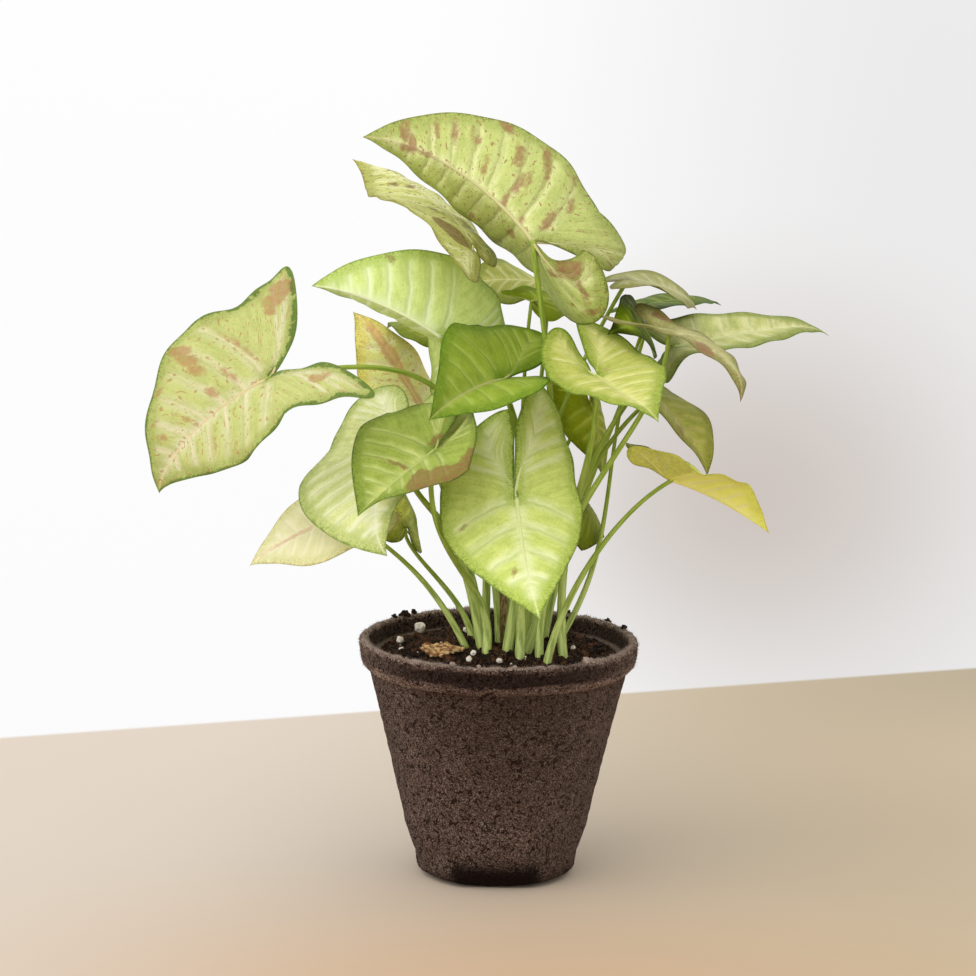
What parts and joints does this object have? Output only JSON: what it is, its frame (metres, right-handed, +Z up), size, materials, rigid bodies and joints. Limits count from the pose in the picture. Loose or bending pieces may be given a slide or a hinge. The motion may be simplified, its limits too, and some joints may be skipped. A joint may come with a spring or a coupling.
{
  "type": "arrowhead plant",
  "caption": "Potted arrowhead plant: arrow-shaped leaves on long stalks rising from soil in a flared moulded-fibre pot",
  "frame": {"origin": "centre of the pot's flat base, on the surface it stands on", "axes": "+Z up, -Y the side that the plant faces, +X to the right seen from there"},
  "size_m": [0.2934, 0.1972, 0.3283],
  "materials": {
    "pot_fibre": "matt speckled moulded plant fibre with a fuzzy rim",
    "soil": "crumbly dark peat soil with reddish fibres",
    "leaf": "satin green blade, paler along the veins, with pinkish-brown spots",
    "dry_matter": "dry brown sheath and bark",
    "perlite": "off-white porous grains"
  },
  "bodies": {
    "root": {"pot": "pot_fibre", "soil": "soil", "leaf_crown": "leaf", "leaf_crown_back": "leaf", "leaf_left_high": "leaf", "leaf_left_far": "leaf", "leaf_yellow_back": "leaf", "leaf_back_left": "leaf", "leaf_left_near": "leaf", "leaf_left_low": "leaf", "leaf_left_bottom": "leaf", "leaf_torn": "leaf", "leaf_centre": "leaf", "leaf_front": "leaf", "leaf_right_near": "leaf", "leaf_right_far": "leaf", "leaf_right_blade": "leaf", "leaf_right_top": "leaf", "leaf_right_top_back": "leaf", "leaf_right_dark": "leaf", "leaf_right_low": "leaf", "leaf_right_yellow": "leaf", "leaf_low_right": "leaf", "leaf_back_top": "leaf", "leaf_back_centre": "leaf", "leaf_back_low": "leaf", "dry_sheath": "dry_matter", "bark_chip": "dry_matter", "perlite_1": "perlite", "perlite_2": "perlite", "perlite_3": "perlite", "perlite_4": "perlite", "perlite_5": "perlite", "perlite_6": "perlite", "perlite_7": "perlite", "perlite_8": "perlite"}
  },
  "joints": []
}
